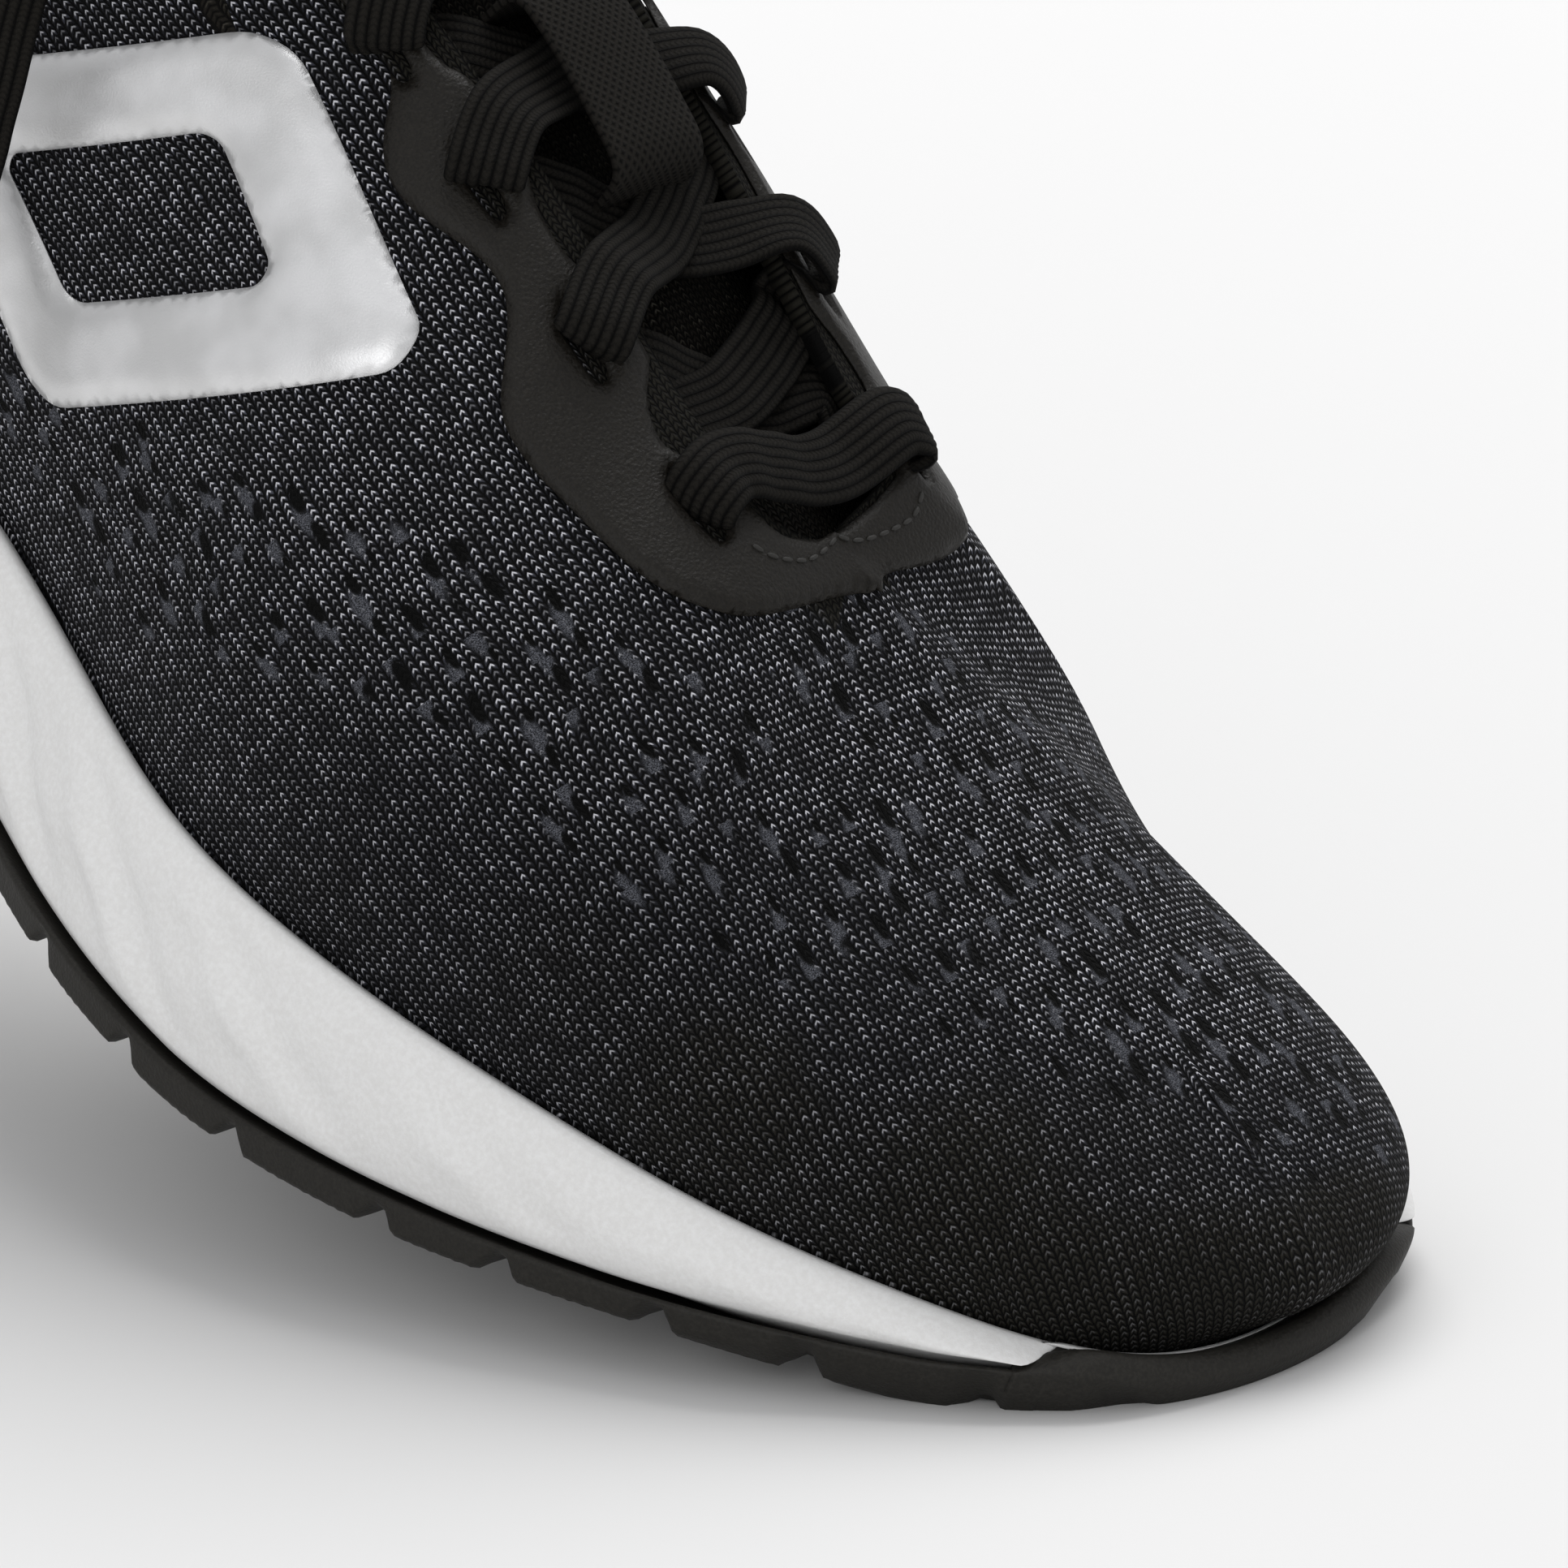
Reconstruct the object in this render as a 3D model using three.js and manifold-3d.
// Right-foot running shoe. Millimetres; +X toe, -Y outer (lateral) side, +Z up.
import * as THREE from 'three';
import Module from 'manifold-3d';

// ---- driving dimensions (shoe coordinates: x from the heel, ground at z = 0)
const FLEX_X = 206;            // crease line of the ball of the foot
const FLEX_Z = 33;             // height of the crease axis
const KNIT_T = 2.2;            // thickness of the knitted upper
const FILM_T = 0.7;            // thickness of the welded film round the eyelets
const GAP = 0.3;               // room between neighbouring layers
const RUBBER_T = 5;            // outsole rubber thickness
const LACE_W = 6.6, LACE_T = 1.4;
const EYELET_X = [203.5, 184.5, 166, 149, 132.5, 117];
const EYELET_V = 0.905;
// feather line seen from above, heel -> lateral -> toe -> medial
const OUT = [[9,0],[16,-21],[34,-32],[60,-34],[90,-33],[120,-34.5],[150,-40.3],[177.5,-47.9],[205,-49.2],[229.8,-45.5],[251.6,-39.2],[271.4,-28.2],[287.4,-13.2],[290.6,6],[286,22.6],[274,36.5],[251.8,41.2],[230,44.8],[205,44.2],[178,40.5],[150,34.5],[120,31],[90,31],[60,33.5],[34,31.5],[16,21]];
// upper edge of the upper, heel centre -> collar -> throat -> toe ridge
const TOP = [[8,0,103],[13,-16.5,101],[31,-27,89],[60,-31.5,74],[89,-29.5,84],[113,-22.5,103.5],[139,-14,100.3],[167,-10.5,90.3],[192,-8.5,78.4],[206,-6.5,72.3],[214,2.5,67.6],[238,3.5,57.2],[259,4,50.2],[275,4.5,45.2]];
const FUL = [[6,17,3,17],[6,17,3,16],[5,15,3,13],[4,13,3,10],[4,15,3.5,11],[4,26,5,18],[4,28,13,14],[3,29,21,9.5],[2.5,27,24.5,6],[2.5,22,23,3.2],[2.5,19,24,1.8],[2.5,16,21,0.9],[3.3,13,18,0.5],[5,10.5,13,0.3]];
const MED = [[1,1],[1,1],[1,1],[1,1],[1,1],[1,1],[.85,.9],[.6,.7],[.47,.56],[.44,.53],[.5,.58],[.75,.74],[1,.84],[1,.95]];

const wasm = await Module(); wasm.setup();

// ---- interpolation
function periodic(pts) {
  const n = pts.length, M = pts.map(() => [0, 0]);
  for (let it = 0; it < 200; it++) for (let i = 0; i < n; i++) for (let k = 0; k < 2; k++) {
    const a = pts[(i + n - 1) % n][k], b = pts[i][k], c = pts[(i + 1) % n][k];
    M[i][k] = (6 * (a - 2 * b + c) - M[(i + n - 1) % n][k] - M[(i + 1) % n][k]) / 4;
  }
  return (u) => {
    const t = (((u % 1) + 1) % 1) * n, i = Math.floor(t) % n, s = t - Math.floor(t), j = (i + 1) % n;
    return [0, 1].map((k) => pts[i][k] * (1 - s) + pts[j][k] * s + ((1 - s) ** 3 - (1 - s)) * M[i][k] / 6 + (s ** 3 - s) * M[j][k] / 6);
  };
}
function hermite(xs, ys) {
  const vec = Array.isArray(ys[0]), Y = vec ? ys : ys.map((y) => [y]), n = xs.length, D = Y[0].length, m = [];
  const d = (i, k) => (Y[i + 1][k] - Y[i][k]) / (xs[i + 1] - xs[i]);
  for (let i = 0; i < n; i++) { const r = []; for (let k = 0; k < D; k++) {
    if (i === 0) r.push(d(0, k)); else if (i === n - 1) r.push(d(n - 2, k));
    else { const a = xs[i] - xs[i - 1], b = xs[i + 1] - xs[i]; r.push((d(i, k) * a + d(i - 1, k) * b) / (a + b)); } } m.push(r); }
  return (x) => {
    let i = 0; while (i < n - 2 && x >= xs[i + 1]) i++;
    const h = xs[i + 1] - xs[i]; let t = (x - xs[i]) / h; t = Math.max(-0.5, Math.min(1.5, t));
    const r = Y[i].map((_, k) => (2 * t ** 3 - 3 * t * t + 1) * Y[i][k] + (t ** 3 - 2 * t * t + t) * h * m[i][k] + (-2 * t ** 3 + 3 * t * t) * Y[i + 1][k] + (t ** 3 - t * t) * h * m[i + 1][k]);
    return vec ? r : r[0];
  };
}
const lerpT = (x, xs, ys) => { if (x <= xs[0]) return ys[0]; for (let i = 1; i < xs.length; i++) if (x <= xs[i]) return ys[i - 1] + (ys[i] - ys[i - 1]) * (x - xs[i - 1]) / (xs[i] - xs[i - 1]); return ys[ys.length - 1]; };
const base = periodic(OUT);
const zbot0 = hermite([0,9,20,32,70,90,120,150,166,192,206,225,245,265,285,296,302], [13,7.5,2.6,0,0,1.6,3.4,1.0,0,0,1.5,5.2,10.9,16.8,22.2,24.8,26.5]), zbot = (x) => Math.max(0, zbot0(x));
const zf = hermite([0,20,60,110,150,180,210,240,265,300], [45,41.5,36.5,31.8,27.2,25.2,26.0,27.2,27.3,27.1]);
const norm2 = (u) => { const a = base(u + 1e-4), b = base(u - 1e-4), d = [a[0] - b[0], a[1] - b[1]], l = Math.hypot(...d); return [d[1] / l, -d[0] / l]; };
const outline = (u, off) => { const p = base(u), n = norm2(u); return [p[0] + n[0] * off, p[1] + n[1] * off]; };
const idx14 = TOP.map((_, i) => i), Tf = hermite(idx14, TOP), Kf = hermite(idx14, FUL), KMf = hermite(idx14, FUL.map((k, i) => [k[0] - (i >= 7 && i <= 10 ? 1 : 0), k[1] * MED[i][0], k[2] * MED[i][1], k[3]]));
const yc = (x) => lerpT(x, [0, 110, 200, 300], [0, 0, 2.5, 4.5]);
const slope = hermite([200, 228, 262, 280], [-0.47, -0.42, -0.36, -0.35]);
function ctrl(u) {
  u = ((u % 1) + 1) % 1; const lat = u <= 0.5 + 1e-12, i = (lat ? u : 1 - u) * 26, raw = Tf(i), t = raw.slice(), k = lat ? Kf(i) : KMf(i), w = Math.max(0, Math.min(1, i - 9));
  if (!lat) t[1] = (2 * yc(raw[0]) - raw[1]) * (1 - w) + raw[1] * w;
  return [i, t, k, w];
}
// skin of the upper: u round the feather line, v from the feather line to the upper edge
function raw(u, v) {
  const [i, t, k, w0] = ctrl(u), f2 = outline(u, -0.6), n = norm2(u), F = [f2[0], f2[1], zf(f2[0])];
  const P1 = [F[0] + n[0] * k[0], F[1] + n[1] * k[0], F[2] + k[1]];
  let dx = F[0] - t[0], dy = F[1] - t[1]; const dl = Math.hypot(dx, dy) + 1e-9; dx /= dl; dy /= dl;
  let w = Math.max(0, Math.min(1, (i - 4) / 3)); w = w * w * (3 - 2 * w);
  let hx = n[0] * (1 - w) + dx * w, hy = n[1] * (1 - w) + dy * w; const hl = Math.hypot(hx, hy); hx /= hl; hy /= hl;
  const P2 = [t[0] + hx * k[2], t[1] + hy * k[2], t[2] + slope(t[0]) * w0 * hx * k[2] - k[3]];
  const a = (1 - v) ** 3, b = 3 * (1 - v) ** 2 * v, c = 3 * (1 - v) * v * v, d = v ** 3;
  const uu = ((u % 1) + 1) % 1, e = Math.max(0, Math.min(1, (0.085 - Math.abs(uu - 0.54)) / 0.085)), g = 5.2 * e * e * (3 - 2 * e) * 6.75 * v * (1 - v) ** 2; // fuller inner corner of the toe
  return [0, 1, 2].map((q) => a * F[q] + b * P1[q] + c * P2[q] + d * t[q] + (q < 2 ? n[q] * g : 0));
}
const sub = (a, b) => [a[0] - b[0], a[1] - b[1], a[2] - b[2]], add = (a, b, s = 1) => [a[0] + b[0] * s, a[1] + b[1] * s, a[2] + b[2] * s];
const cross = (a, b) => [a[1] * b[2] - a[2] * b[1], a[2] * b[0] - a[0] * b[2], a[0] * b[1] - a[1] * b[0]], unit = (a) => { const l = Math.hypot(...a) || 1; return a.map((x) => x / l); };
function normalAt(u, v) {
  const va = Math.max(0.003, Math.min(0.997, v)), e = 1e-3;
  return unit(cross(sub(raw(u + e, va), raw(u - e, va)), sub(raw(u, va + e), raw(u, va - e))));
}
function skin(u, v, off) {
  const p = raw(u, v); if (!off) return p;
  const uu = ((u % 1) + 1) % 1, i = (uu <= 0.5 ? uu : 1 - uu) * 26;
  let n = normalAt(u, v);
  if (v > 0.999 && i >= 9.999) n = unit(add(n, normalAt(1 - u, v)));
  if (i > 12.999) { n = unit([n[0], 0.0, n[2]]); }
  return add(p, n, off);
}

// ---- mesh building: a soup of faces welded into one indexed body
class Soup {
  constructor() { this.V = []; this.F = []; this.map = new Map(); }
  id(p) { const k = p.map((x) => Math.round(x * 2000)).join(); let i = this.map.get(k); if (i === undefined) { i = this.V.length; this.V.push(p); this.map.set(k, i); } return i; }
  tri(a, b, c) { const i = this.id(a), j = this.id(b), k = this.id(c); if (i !== j && j !== k && i !== k) this.F.push([i, j, k]); }
  quad(a, b, c, d) { this.tri(a, b, c); this.tri(a, c, d); }
  grid(g) { for (let i = 0; i + 1 < g.length; i++) for (let j = 0; j + 1 < g[0].length; j++) this.quad(g[i][j], g[i + 1][j], g[i + 1][j + 1], g[i][j + 1]); return this; }
  solid() {
    let m = new wasm.Manifold(new wasm.Mesh({ numProp: 3, vertProperties: new Float32Array(this.V.flat()), triVerts: new Uint32Array(this.F.flat()) }));
    if (m.volume() < 0) { this.F = this.F.map(([a, b, c]) => [a, c, b]); m = new wasm.Manifold(new wasm.Mesh({ numProp: 3, vertProperties: new Float32Array(this.V.flat()), triVerts: new Uint32Array(this.F.flat()) })); }
    return m;
  }
}
// closed layer between two grids with the same layout
function slab(A, B, { closedU = false, zipTop = false } = {}) {
  const s = new Soup(), n = A.length, m = A[0].length; s.grid(A); s.grid(B.map((r) => r.slice().reverse()));
  for (let i = 0; i + 1 < n; i++) {
    s.quad(B[i][0], B[i + 1][0], A[i + 1][0], A[i][0]);
    if (!(zipTop && zipTop(i))) s.quad(A[i][m - 1], A[i + 1][m - 1], B[i + 1][m - 1], B[i][m - 1]);
  }
  if (!closedU) for (let j = 0; j + 1 < m; j++) { s.quad(A[0][j], A[0][j + 1], B[0][j + 1], B[0][j]); s.quad(B[n - 1][j], B[n - 1][j + 1], A[n - 1][j + 1], A[n - 1][j]); }
  return s.solid();
}
function layer(i0, i1, side, vs, o0, o1, step = 1 / 2) { // strip of the upper; offsets may depend on v
  const f = (o, i, v) => skin(side > 0 ? 1 - i / 26 : i / 26, v, typeof o === 'function' ? o(v, i) : o), A = [], B = [], n = Math.round((i1 - i0) / step);
  for (let k = 0; k <= n; k++) { const i = i0 + (i1 - i0) * k / n; A.push(vs.map((v) => f(o0, i, v))); B.push(vs.map((v) => f(o1, i, v))); }
  return slab(A, B);
}
function wrap(a, b, vs, o0, o1, step = 1 / 2) { // strip from control a (lateral side negative) to b through the heel or the toe
  const A = [], B = [], n = Math.round((b - a) / step), f = (o, v, u) => skin(u, v, typeof o === 'function' ? o(v) : o);
  for (let k = 0; k <= n; k++) { const u = (a + (b - a) * k / n) / 26; A.push(vs.map((v) => f(o0, v, u))); B.push(vs.map((v) => f(o1, v, u))); }
  return slab(A, B);
}
function fullShell(o0, o1, vs, foot = false) { // whole upper as one wall; foot adds the margin that turns down into the foam dish
  const A = [], B = []; for (let k = 0; k <= 52; k++) { const u = k / 52; A.push(vs.map((v) => skin(u, v, o0))); B.push(vs.map((v) => skin(u, v, o1))); }
  for (const g of [A, B]) for (let k = 20; k <= 26; k++) { const m = vs.length - 1, p = g[k][m], q = g[52 - k][m], c = p.map((x, j) => (x + q[j]) / 2); g[k][m] = c; g[52 - k][m] = c; }
  if (foot) for (let k = 0; k <= 52; k++) { const a = outline(k / 52, -0.9), b = outline(k / 52, -3.1), z = floorZ(a[0]) + 0.4; A[k].unshift([a[0], a[1], z]); B[k].unshift([b[0], b[1], z]); }
  return slab(A, B, { closedU: true, zipTop: (i) => i >= 20 && i < 32 });
}
function prism(poly, lo, hi, plane) { // polygon in a coordinate plane, pulled along the remaining axis
  const P = poly.map(([a, b]) => new THREE.Vector2(a, b)); if (THREE.ShapeUtils.area(P) < 0) P.reverse();
  const T = THREE.ShapeUtils.triangulateShape(P, []), s = new Soup(), at = (p, w) => plane === 'XZ' ? [p.x, w, p.y] : plane === 'XY' ? [p.x, p.y, w] : [w, p.x, p.y];
  for (const [a, b, c] of T) { s.tri(at(P[a], lo), at(P[c], lo), at(P[b], lo)); s.tri(at(P[a], hi), at(P[b], hi), at(P[c], hi)); }
  for (let i = 0; i < P.length; i++) { const a = P[i], b = P[(i + 1) % P.length]; s.quad(at(a, lo), at(b, lo), at(b, hi), at(a, hi)); }
  return s.solid();
}
const box = (x0, x1, y0, y1, z0, z1) => prism([[x0, y0], [x1, y0], [x1, y1], [x0, y1]], z0, z1, 'XY');
// solid between rings round the shoe: list of [offset, height(x,u)] from below to above, flat caps woven across
function tiers(rings, across = 6, step = 1) {
  const Q = 26 / step, s = new Soup(), R = rings.map(([off, z]) => { const r = []; for (let k = 0; k < 2 * Q; k++) { const u = k / (2 * Q), o = typeof off === 'function' ? off(u) : off, p = outline(u, o); r.push([p[0], p[1], z(p[0], u)]); } return r; });
  for (let a = 0; a + 1 < R.length; a++) for (let k = 0; k < 2 * Q; k++) { const l = (k + 1) % (2 * Q); s.quad(R[a][k], R[a][l], R[a + 1][l], R[a + 1][k]); }
  const cap = (r, z, flip) => { const g = []; for (let k = 0; k <= Q; k++) { const L = r[k], M = r[(2 * Q - k) % (2 * Q)], row = []; for (let j = 0; j <= across; j++) { const t = j / across, x = L[0] + (M[0] - L[0]) * t, y = L[1] + (M[1] - L[1]) * t; row.push(j === 0 ? L : j === across ? M : [x, y, z(x, 0)]); } g.push(flip ? row.reverse() : row); } s.grid(g); };
  cap(R[0], rings[0][1], true); cap(R[R.length - 1], rings[rings.length - 1][1], false);
  return s.solid();
}

// ---- sole
const rt = (x) => RUBBER_T - 0.2 - 1.2 * Math.max(0, Math.min(1, (x - 225) / 45));
const toeUp = (x, a, b) => { const t = Math.max(0, Math.min(1, (x - a) / (b - a))); return t * t * (3 - 2 * t); };
const zr = (x) => Math.min(zf(x) - 0.4, zbot(x) + rt(x) + (zf(x) - zbot(x) - rt(x)) * toeUp(x, 276, 296));   // rubber / foam line
const zin = (x) => zbot(x) - 4 * toeUp(x, 240, 285);   // tread height away from the turned-up rim
const floorZ = (x) => zf(x) - 4 + 2.4 * toeUp(x, 250, 285);                                                                                // foam dish under the foot
const inFloor = (d) => (x) => floorZ(x) + d;
const foam = tiers([[-8, (x) => zin(x) + rt(x) - 0.3], [3.2, (x) => Math.min(zr(x) + GAP, zf(x) - 0.3)], [4.6, (x) => zr(x) + GAP + (zf(x) - zr(x) - GAP) * 0.25], [5.0, (x) => zr(x) + GAP + (zf(x) - zr(x) - GAP) * 0.5], [3.2, (x) => zr(x) + GAP + (zf(x) - zr(x) - GAP) * 0.8], [1.2, (x) => zf(x)], [-0.1, (x) => zf(x) - 0.2], [-0.5, (x) => floorZ(x)]], 4);
// the foam ends in a point where the toe rubber takes over
const toeCut = prism([[283, -5], [289, 60], [320, 60], [320, -5]], -80, 80, 'XZ');
const rubber = tiers([[2.0, (x) => zin(x)], [4.6, (x) => zbot(x) + 1.0], [4.9, (x) => zr(x) - 0.2], [-8, (x) => zin(x) + rt(x) - 1.3], [-9, (x) => zin(x) + rt(x) - 1.3]], 4);
// toe rubber: one moulded cap that climbs over the toe edge
const bumperFull = tiers([[2.0, (x) => zin(x)], [4.9, (x) => zbot(x) + 1.6], [5.0, (x) => zf(x) + 0.6], [2.6, (x) => zf(x) + 2.0], [1.2, (x) => zf(x) + 0.6], [-0.1, (x) => zf(x) - 0.2], [-0.5, (x) => floorZ(x)]], 4);
const xCutBumper = (y0, y1) => prism([[283 + GAP, -5], [289 + GAP, 60], [320, 60], [320, -5]], y0, y1, 'XZ');
let bumper = bumperFull.intersect(xCutBumper(-80, 80));
let foamAll = foam.subtract(toeCut);
const halfRear = box(-20, FLEX_X - 0.2, -90, 90, -20, 200), halfFore = box(FLEX_X + 0.2, 330, -90, 90, -20, 200);
// exposed foam channel and lug gaps
const lugXs = [170.7, 186.9, 203.5, 222.7, 236.8, 253.1, 266.5];
const vee = (x, w, d, lean = 0) => { const z0 = zbot(x); return prism([[x - w, z0 - 8], [x + w, z0 - 8], [x + 0.5 + lean, z0 + d], [x - 0.5 + lean, z0 + d]], -90, 90, 'XZ'); };
let tread = rubber;
for (const x of [24, 40, 56, 72, 88, 156, ...lugXs.filter((x) => Math.abs(x - 203.5) > 1)]) tread = tread.subtract(vee(x, 2.2, 2.6));
for (const y of [-24, 24]) tread = tread.subtract(box(146, 268, y - 1.6, y + 1.6, -6, 60).intersect(tiers([[30, (x) => zbot(x) - 8], [30, (x) => zin(x) + 2]], 4)));
const heelZone = (s) => prism([[-5, 7 * s], [70, 7 * s], [104, 22 * s], [104, 60 * s], [-5, 60 * s]], -20, 80, 'XY');
const foreZone = prism([[134, -70], [150, 0], [134, 70], [330, 70], [330, -70]], -20, 80, 'XY');
const toeZone = prism([[283 - GAP, -5], [289 - GAP, 60], [-20, 60], [-20, -5]], -90, 90, 'XZ');
const P = {};
P.outsole_heel_lateral = tread.intersect(heelZone(-1));
P.outsole_heel_medial = tread.intersect(heelZone(1));
P.outsole_ball_rubber = tread.intersect(foreZone).intersect(halfRear);
P.outsole_forefoot_rubber = tread.intersect(foreZone).intersect(halfFore).intersect(toeZone);
P.outsole_toe_bumper = bumper;
P.midsole_rear = foamAll.intersect(halfRear);
P.midsole_forefoot = foamAll.intersect(halfFore);
const board = tiers([[-3.7, inFloor(0.3)], [-3.7, inFloor(1.5)]], 4);
P.lasting_board_rear = board.intersect(halfRear); P.lasting_board_forefoot = board.intersect(halfFore);
const sock = tiers([[-4.6, inFloor(1.8)], [-4.2, inFloor(3.4)], [-4.6, inFloor(5.6)], [-9, inFloor(5.2)]], 4);
P.sockliner_rear = sock.intersect(halfRear); P.sockliner_forefoot = sock.intersect(halfFore);

// ---- upper
const VS = [0, 0.15, 0.31, 0.47, 0.63, 0.78, 0.9, 1];
let knit = fullShell(0, -KNIT_T, VS, true);
const rearPoly = [[-50, -20], [FLEX_X - 0.2, -20], [FLEX_X - 0.2, FLEX_Z], [FLEX_X - 0.2 + 0.4378 * (140 - FLEX_Z), 140], [-50, 140]];
const forePoly = [[FLEX_X + 0.2, -20], [FLEX_X + 0.2, FLEX_Z], [FLEX_X + 0.2 + 1.4826 * (140 - FLEX_Z), 140], [420, 140], [420, -20]];
const flexPoly = [[206.63, 34.2], [207.58, 34.2], [FLEX_X + 0.2 + 1.4826 * (140 - FLEX_Z) - 0.4, 140], [FLEX_X - 0.2 + 0.4378 * (140 - FLEX_Z) + 0.3, 140]];
const cutRear = prism(rearPoly, -90, 90, 'XZ'), cutFore = prism(forePoly, -90, 90, 'XZ'), cutFlex = prism(flexPoly, -90, 90, 'XZ');

// ---- lace: a flat woven ribbon through six pairs of eyelets
function eyeI(x, side) { let a = 4, b = 9.6; for (let k = 0; k < 40; k++) { const m = (a + b) / 2; if (skin(side < 0 ? m / 26 : 1 - m / 26, EYELET_V, 0)[0] < x) a = m; else b = m; } return (a + b) / 2; }
const at = (side, x, v, off) => { const i = eyeI(x, side); return skin(side < 0 ? i / 26 : 1 - i / 26, v, off); };
const tongueZ = hermite([88, 92, 98, 112, 130, 150, 168, 186, 203, 216], [133, 129, 122.5, 109, 99.2, 91.8, 83.4, 74.2, 65.6, 60.6]);
const half = [];
function strand(k, s, lift) { // from the eyelet k on side s, up and over, to the eyelet k+1 on the other side
  const a = EYELET_X[k], b = EYELET_X[k + 1], m = (a + b) / 2;
  return [at(s, a, EYELET_V, 2.7), at(s, a - 2.5, 0.985, 3.0), [m + 1.5, s * 1.5 + yc(m), tongueZ(m) + 3.2 + lift], add(at(-s, b + 4.5, 0.99, -3.1), [0, 0, 0.2]), at(-s, b + 1.5, 0.93, -3.6), at(-s, b, EYELET_V + 0.012, -1.2)];
}
function route(s0) { // one end of the lace, from the bottom bar to its tip
  let s = s0; const r = [at(s, EYELET_X[0], EYELET_V, -1.2), at(s, EYELET_X[0] - 1, 0.93, -3.8), at(s, EYELET_X[0] - 7, 0.985, -3.4)];
  const m = (EYELET_X[0] + EYELET_X[1]) / 2; r.push([m - 2, s * 1.5 + yc(m), tongueZ(m) + 3.2 + (s0 < 0 ? 2.1 : 0)]);
  r.push(at(-s, EYELET_X[1] + 4.5, 0.99, -3.1), at(-s, EYELET_X[1] + 1.5, 0.93, -3.6), at(-s, EYELET_X[1], EYELET_V + 0.012, -1.2));
  s = -s; for (let k = 1; k < 5; k++) { const up = (s < 0) ? 2.1 : 0; r.push(...strand(k, s, up)); s = -s; }
  return [r, s];
}
const [rA, sA] = route(-1), [rB, sB] = route(1);
const tail = (s) => [at(s, 117, EYELET_V, 2.7), at(s, 113.5, 0.985, 3.0), [106.5, -s * 0.5, 121.0 + (s > 0 ? 2.4 : 0)], [104, -s * 12, 119.5], [106, -s * 26, 108], [112, -s * 33.5, 96], [117, -s * 38.5, 84], [121, -s * 42, 72], [124, -s * 44.5, 60]];
const bar = [at(-1, 203, EYELET_V, 2.7), at(-1, 203.4, 0.97, 3.0), [204.5, 2.6, tongueZ(204.5) + 9.6], at(1, 203.4, 0.97, 3.0), at(1, 203, EYELET_V, 2.7)];
const pathPts = [...tail(sA).reverse(), ...rA.slice().reverse(), ...bar, ...rB, ...tail(sB)];
const curve = new THREE.CatmullRomCurve3(pathPts.map((p) => new THREE.Vector3(...p)), false, 'centripetal');
const NL = 160;
function outwardAt(p) { // which way the flat of the lace faces
  const c = [p.x, yc(p.x) * 1, 20 + Math.max(0, (p.x < 100 ? 60 : 200 - p.x) * 0.15)]; return new THREE.Vector3(0.35, (p.y - yc(p.x)) * 0.022, 0.9).normalize();
}
const frames = []; for (let k = 0, prev = null; k <= NL; k++) {
  const p = curve.getPointAt(k / NL), tan = curve.getTangentAt(k / NL), n = outwardAt(p); n.addScaledVector(tan, -n.dot(tan));
  if (prev) { const q = prev.clone().addScaledVector(tan, -prev.dot(tan)).normalize(); if (n.lengthSq() < 0.05) n.copy(q); else n.normalize().lerp(q, 0.55).normalize(); if (n.dot(prev) < 0) n.negate(); } else n.normalize();
  prev = n.clone(); frames.push([p, n, new THREE.Vector3().crossVectors(tan, n).normalize()]);
}
function ribbon(w, t, n0 = 0, n1 = NL) {
  const s = new Soup(), A = frames.slice(n0, n1 + 1).map(([p, n, b]) => [[-w / 2, -t / 4], [-w / 2, t / 4], [-w / 2 + t / 2, t / 2], [w / 2 - t / 2, t / 2], [w / 2, t / 4], [w / 2, -t / 4], [w / 2 - t / 2, -t / 2], [-w / 2 + t / 2, -t / 2]].map(([x, y]) => [p.x + b.x * x + n.x * y, p.y + b.y * x + n.y * y, p.z + b.z * x + n.z * y]));
  for (let i = 0; i + 1 < A.length; i++) for (let j = 0; j < 8; j++) { const l = (j + 1) % 8; s.quad(A[i][j], A[i + 1][j], A[i + 1][l], A[i][l]); }
  for (const [r, f] of [[A[0], 0], [A[A.length - 1], 1]]) for (let j = 1; j < 7; j++) f ? s.tri(r[0], r[j + 1], r[j]) : s.tri(r[0], r[j], r[j + 1]);
  return s;
}
// room the lace passes through: overlapping slices joined up
function laceBox(k, w, t) {
  const [p, n0] = frames[k], [q, n1] = frames[k + 1], d = q.clone().sub(p), len = d.length(), s = new Soup(); d.normalize(); const n = n0.clone().add(n1); n.addScaledVector(d, -n.dot(d)).normalize(); const b = new THREE.Vector3().crossVectors(d, n), c = p.clone().add(q).multiplyScalar(0.5), h = len / 2 + 0.75;
  const P8 = (i, j, l) => { const v = c.clone().addScaledVector(d, i * h).addScaledVector(b, j * w / 2).addScaledVector(n, l * t / 2); return [v.x, v.y, v.z]; };
  for (const [u, v, x] of [[0, 1, 2], [1, 2, 0], [2, 0, 1]]) for (const e of [-1, 1]) { const m = (a, b) => { const q3 = [0, 0, 0]; q3[u] = a; q3[v] = b; q3[x] = e; return P8(...q3); }; const r = [m(-1, -1), m(1, -1), m(1, 1), m(-1, 1)]; if (e < 0) r.reverse(); s.quad(...r); }
  return s.solid();
}
let laceRoom = laceBox(0, LACE_W + 1.5, LACE_T + 1.5); for (let k = 1; k < NL; k++) laceRoom = laceRoom.add(laceBox(k, LACE_W + 1.5, LACE_T + 1.5));
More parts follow.
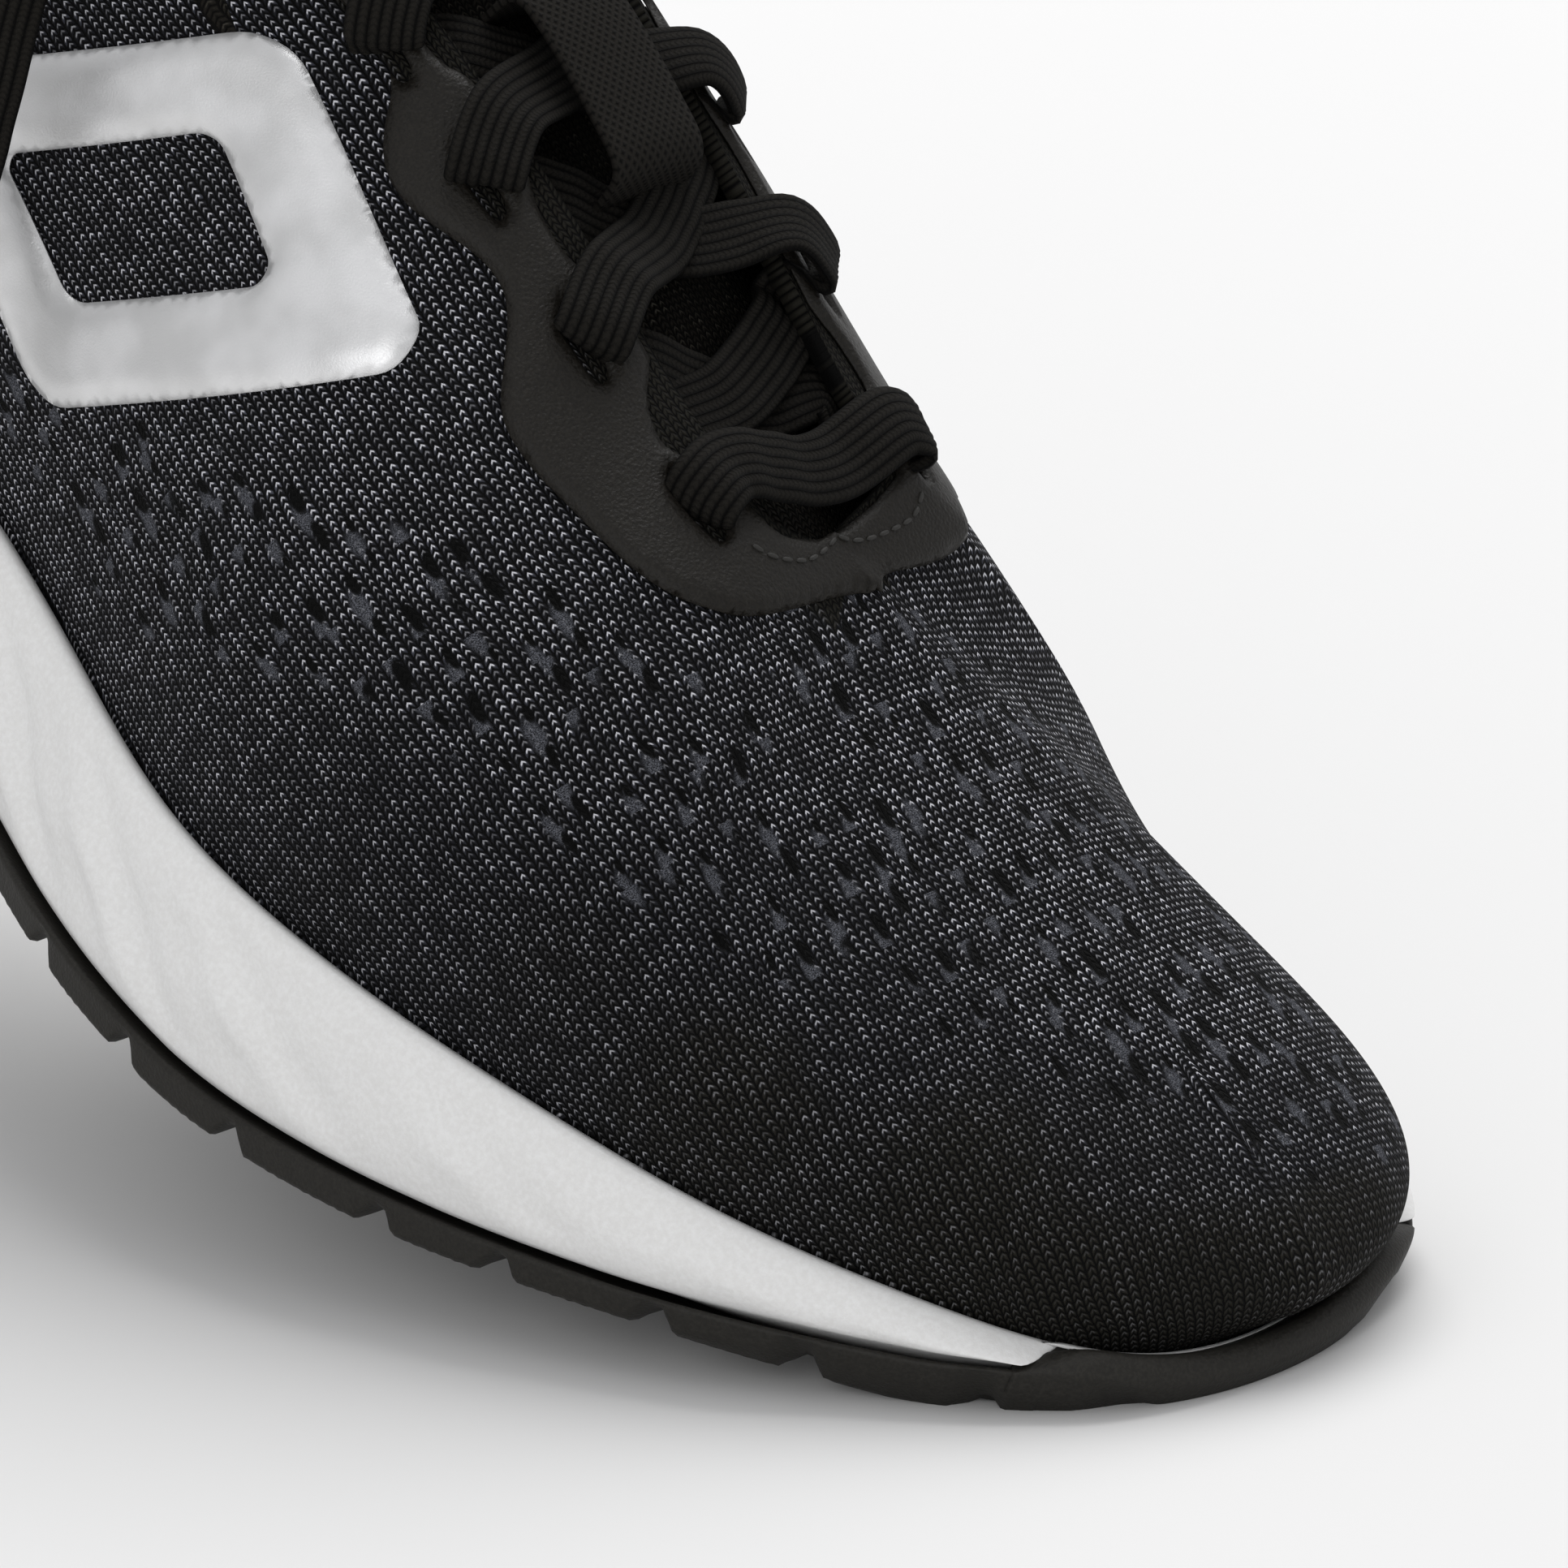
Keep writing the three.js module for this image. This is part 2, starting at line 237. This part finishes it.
// eyelets: slots through film and knit, square to the surface
function eyeletSlot(side, x) {
  const i = eyeI(x, side), u = side < 0 ? i / 26 : 1 - i / 26, n = normalAt(u, EYELET_V), c = skin(u, EYELET_V - 0.004, -0.6), d = unit(sub(raw(u, EYELET_V + 0.02), raw(u, EYELET_V - 0.02))), b = cross(d, n), s = new Soup();
  const P8 = (i, j, l) => [0, 1, 2].map((k) => c[k] + d[k] * i * 2.5 + b[k] * j * 4.7 + n[k] * l * 5.5);
  for (const [p, q, r] of [[0, 1, 2], [1, 2, 0], [2, 0, 1]]) for (const e of [-1, 1]) { const m = (a, b2) => { const w = [0, 0, 0]; w[p] = a; w[q] = b2; w[r] = e; return P8(...w); }; const f = [m(-1, -1), m(1, -1), m(1, 1), m(-1, 1)]; if (e < 0) f.reverse(); s.quad(...f); }
  return s.solid();
}
let eyeletSlots = null; for (const x of EYELET_X) for (const sd of [-1, 1]) eyeletSlots = eyeletSlots ? eyeletSlots.add(eyeletSlot(sd, x)) : eyeletSlot(sd, x);
const laceSolid = ribbon(LACE_W, LACE_T);

// ---- tongue: follows the foot under the laces, its top end stands free
const tongueW = hermite([88, 98, 120, 150, 186, 204, 213], [25, 28, 26.5, 25, 20.5, 15, 10]);
function tongueGrid(d0, d1, xs, ny = 10, back = 0) { // back: how far the first edge is cut away below its top face
  const A = [], B = []; for (const x of xs) { const w = tongueW(x), e = 0.5, sl = (tongueZ(x + e) - tongueZ(x - e)) / (2 * e), q = Math.hypot(1, sl), a = [], b = [];
    for (let j = 0; j <= ny; j++) { const t = -1 + 2 * j / ny, y = yc(x) + w * t, z = tongueZ(x) - 0.0135 * (w * t) ** 2, edge = 1 - 0.55 * t ** 6; const nx = -sl / q, nz = 1 / q, m = (d0 + d1) / 2, h0 = m + (d0 - m) * edge, h1 = m + (d1 - m) * edge, k = x === xs[0] ? back : 0, g = k * 0.0021 * (w * t) ** 2; a.push([x + nx * h0 - g / q, y, z + nz * h0 - g * sl / q]); b.push([x + nx * h1 - (g + k) / q, y, z + nz * h1 - (g + k) * sl / q]); } A.push(a); B.push(b); }
  return slab(A, B);
}
function binding(e) { // fabric edge that rolls over the collar
  const A = [], B = []; for (let k = -10; k <= 10; k++) { const u = k / 52, t = skin(u, 1, 0), n = normalAt(u, 1), p = (o, h) => add(add(t, n, o), [0, 0, 1], h); A.push([p(0.4 + e, 0.35 - e), p(0.5 + e, 1.6 + e), p(-3, 3.0 + e), p(-6.3 - e, 1.4 + e)]); B.push([p(-0.6 - e, 0.35 - e), p(-0.5 - e, 0.9 - e), p(-3, 1.9 - e), p(-5.6 + e * 0, 0.4 - e)]); }
  return slab(A, B);
}
const T_SPLIT = 99.5;             // the free end of the tongue bends here, just above the tied lace
const keepOut = fullShell(9, -KNIT_T - 1.4, VS).add(wrap(-6, 6, [0.45, 0.6, 0.75, 0.9, 1], 2, -9.6)).add(binding(0.9));
const xsLow = [213, 205, 196, 186, 177, 168, 159, 150, 140, 130, 121, 114, 107, T_SPLIT + 0.4], xsTop = [T_SPLIT - 0.4, 96.5, 94, 91.5, 89];
P.tongue_body = tongueGrid(0.6, -3.6, xsLow).subtract(keepOut).subtract(laceRoom);
P.tongue_top = tongueGrid(0.6, -4.6, xsTop, 10, 1.1).subtract(laceRoom);
P.tongue_lace_keeper = (() => { const A = [], B = []; for (const [x, lift] of [[170.2, 0.9], [169.4, 8.4], [159.5, 9.2], [149.7, 8.4], [148.9, 0.9]]) { const a = [], b = []; for (const y of [-5.5, 0, 5.5]) { const z = tongueZ(x) - 0.0135 * y * y; a.push([x + 0.4 * lift + (lift < 1 ? (x > 160 ? 0.9 : -0.9) : 0), y + yc(x), z + lift + (lift < 1 ? 0 : 0.9)]); b.push([x + 0.4 * lift, y + yc(x), z + lift]); } A.push(a); B.push(b); } return slab(A, B); })().subtract(laceRoom);

// ---- film round the eyelets, emblems, inner reinforcements
const filmOut = [[214.5, 3], [215.6, -3], [215.3, -7], [214.3, -16.5], [211.2, -21.1], [206.6, -23.7], [201.3, -25], [196.4, -25.9], [191.3, -27], [186.9, -26.8], [184.1, -25.9], [181.5, -23.9], [178.3, -22.8], [175.4, -22.4], [171.4, -22.6], [166.3, -23.2], [162.4, -23.6], [158, -23.6], [153.5, -21], [148, -20.5], [143.4, -19], [139, -20.5], [134, -24.5], [128, -26.5], [120, -26.5], [112, -25.5]];
const filmPoly = [...filmOut, [100, -30], [100, 3]];
const filmPolyM = filmPoly.map(([x, y]) => [x, 2 * yc(x) - y]);
const filmLayer = fullShell(GAP + FILM_T, GAP, VS);
const film = filmLayer.subtract(knit).intersect(prism(filmPoly, 40, 130, 'XY').add(prism(filmPolyM, 40, 130, 'XY')));
P.eyestay_film = film.subtract(eyeletSlots).subtract(laceRoom);
knit = knit.subtract(eyeletSlots).subtract(laceRoom);
P.tongue_body = P.tongue_body.subtract(knit);
P.upper_quarter = knit.intersect(cutRear);
P.upper_flex_zone = knit.intersect(cutFlex);
P.upper_toe = knit.intersect(cutFore);
P.toe_puff = wrap(11.0, 15.0, [0.2, 0.32, 0.42, 0.52, 0.62], -KNIT_T - 0.55, -KNIT_T - 1.35).intersect(cutFore);
P.heel_counter = wrap(-3.5, 3.5, [0.06, 0.2, 0.34, 0.48], -KNIT_T - 0.35, -KNIT_T - 1.45);
const pad = (v) => -4.4 - 3.6 * toeUp(v, 0.46, 0.62);
P.collar_padding = wrap(-5, 5, [0.58, 0.68, 0.78, 0.88, 0.965], -KNIT_T - 0.35, (v) => pad(v) + 0.6 + (v > 0.95 ? 1.6 : 0));
P.collar_lining = wrap(-5, 5, [0.04, 0.2, 0.34, 0.46, 0.54, 0.62, 0.75, 0.88, 0.965], (v) => pad(v) + (v > 0.95 ? 1.4 : 0), (v) => pad(v) - 0.9 + (v > 0.95 ? 1.4 : 0));
P.collar_binding = binding(0).subtract(laceRoom);
P.heel_pull_tab = (() => { const c = skin(0, 0.7, 0), d = skin(0, 1, 0); const A = [], B = []; for (const [x, z] of [[c[0] - 1.0, c[2]], [d[0] - 1.2, d[2] - 2], [d[0] - 1.4, d[2] + 6], [d[0] + 1.5, d[2] + 9.5]]) { A.push([-8, -4, 0, 4, 8].map((y) => [x - 1.1 + y * y * 0.03, y, z])); B.push([-8, -4, 0, 4, 8].map((y) => [x - 0.1 + y * y * 0.03, y, z])); } return slab(A, B); })().subtract(fullShell(0.3, -3, VS)).subtract(P.collar_binding);
function ring(poly, inner, s) { return prism(poly, s < 0 ? -80 : 12, s < 0 ? -12 : 80, 'XZ').subtract(prism(inner, s < 0 ? -81 : 11, s < 0 ? -11 : 81, 'XZ')); }
const emOut = [[102.5, 62.5], [103, 58.6], [134, 45.5], [139.5, 45.7], [174.5, 74], [173.5, 77.6], [142.5, 89.6], [137, 89]], emIn = [[120, 63.6], [120.3, 61.8], [134.2, 56.5], [136.8, 56.9], [155.7, 71.8], [155.4, 74], [141.8, 79.2], [139.3, 78.8]];
for (const [s, n] of [[-1, 'lateral'], [1, 'medial']]) { const sh = layer(4, 7.4, s, [0.1, 0.2, 0.3, 0.4, 0.5, 0.6, 0.7, 0.8, 0.9], GAP + 0.9, GAP, 1 / 2); P['side_emblem_' + n] = sh.intersect(ring(emOut, emIn, s)).subtract(fullShell(GAP + FILM_T + 0.4, -5, VS).intersect(prism(filmPoly, 40, 130, 'XY').add(prism(filmPolyM, 40, 130, 'XY')))); }

// lace ends
function aglet(end) {
  const s = new Soup(), A = []; const dir = end ? 1 : -1, p0 = curve.getPointAt(end), t = curve.getTangentAt(end).multiplyScalar(dir), n = new THREE.Vector3(0.3, 1, 0.2).addScaledVector(t, -new THREE.Vector3(0.3, 1, 0.2).dot(t)).normalize(), b = new THREE.Vector3().crossVectors(t, n);
  for (let k = 0; k <= 4; k++) { const r = []; for (let j = 0; j < 12; j++) { const a = j / 12 * 2 * Math.PI, q = p0.clone().addScaledVector(t, 0.4 + k * 5.2).addScaledVector(n, 1.9 * Math.cos(a)).addScaledVector(b, 1.9 * Math.sin(a)); r.push([q.x, q.y, q.z]); } A.push(r); }
  for (let i = 0; i < 4; i++) for (let j = 0; j < 12; j++) { const l = (j + 1) % 12; s.quad(A[i][j], A[i + 1][j], A[i + 1][l], A[i][l]); }
  for (const [r, f] of [[A[0], 0], [A[4], 1]]) for (let j = 1; j < 11; j++) f ? s.tri(r[0], r[j + 1], r[j]) : s.tri(r[0], r[j], r[j + 1]);
  return s.solid();
}
P.lace_aglet_a = aglet(0); P.lace_aglet_b = aglet(1);
P.lace = laceSolid;

// ---- materials and assembly
const MAT = { foam: ['#ecebea', 0.75, 0], rubber: ['#2b2a27', 0.8, 0], knit: ['#1d1d20', 0.9, 0], film: ['#2c2925', 0.55, 0], silver: ['#c3c4c6', 0.4, 0.35], lace: ['#161514', 0.95, 0], tongue: ['#1c1a18', 0.9, 0], board: ['#c9c4b8', 0.9, 0], sock: ['#33363c', 0.9, 0], lining: ['#222326', 0.95, 0], pad: ['#3b3d42', 0.95, 0], stiff: ['#d8d2c4', 0.7, 0], plastic: ['#101010', 0.35, 0] };
const SLOT = { midsole_rear: 'foam', midsole_forefoot: 'foam', outsole_heel_lateral: 'rubber', outsole_heel_medial: 'rubber', outsole_ball_rubber: 'rubber', outsole_forefoot_rubber: 'rubber', outsole_toe_bumper: 'rubber', lasting_board_rear: 'board', lasting_board_forefoot: 'board', sockliner_rear: 'sock', sockliner_forefoot: 'sock', upper_quarter: 'knit', upper_flex_zone: 'knit', upper_toe: 'knit', toe_puff: 'stiff', heel_counter: 'stiff', collar_padding: 'pad', collar_lining: 'lining', collar_binding: 'lining', heel_pull_tab: 'tongue', eyestay_film: 'film', tongue_body: 'tongue', tongue_top: 'tongue', tongue_lace_keeper: 'tongue', lace: 'lace', lace_aglet_a: 'plastic', lace_aglet_b: 'plastic', side_emblem_lateral: 'silver', side_emblem_medial: 'silver' };
const group = new THREE.Group(); group.name = 'running_shoe';
const data = {}; const lo = [1e9, 1e9, 1e9], hi = [-1e9, -1e9, -1e9]; export const info = {};
for (const [name, m] of Object.entries(P)) {
  let V, F;
  if (m instanceof Soup) { m.solid(); V = m.V; F = m.F; } else {
    let best = m; const parts = m.decompose(); if (parts.length > 1) { parts.sort((a, b) => b.volume() - a.volume()); best = parts[0]; info[name] = parts.map((q) => +q.volume().toFixed(2)); }
    const g = best.getMesh(), np = g.numProp; V = []; for (let i = 0; i < g.vertProperties.length; i += np) V.push([g.vertProperties[i], g.vertProperties[i + 1], g.vertProperties[i + 2]]); F = []; for (let i = 0; i < g.triVerts.length; i += 3) F.push([g.triVerts[i], g.triVerts[i + 1], g.triVerts[i + 2]]);
  }
  for (const p of V) for (let k = 0; k < 3; k++) { lo[k] = Math.min(lo[k], p[k]); hi[k] = Math.max(hi[k], p[k]); }
  data[name] = [V, F];
}
export const shift = [-(lo[0] + hi[0]) / 2, -(lo[1] + hi[1]) / 2, -lo[2]];
for (const [name, [V, F]] of Object.entries(data)) {
  const geo = new THREE.BufferGeometry(); geo.setAttribute('position', new THREE.Float32BufferAttribute(V.flatMap((p) => [p[0] + shift[0], p[1] + shift[1], p[2] + shift[2]]), 3)); geo.setIndex(F.flat()); geo.computeVertexNormals();
  const [c, r, me] = MAT[SLOT[name]]; const mesh = new THREE.Mesh(geo, new THREE.MeshStandardMaterial({ color: c, roughness: r, metalness: me })); mesh.name = name; group.add(mesh);
}
export const bounds = [lo, hi];
export default group;
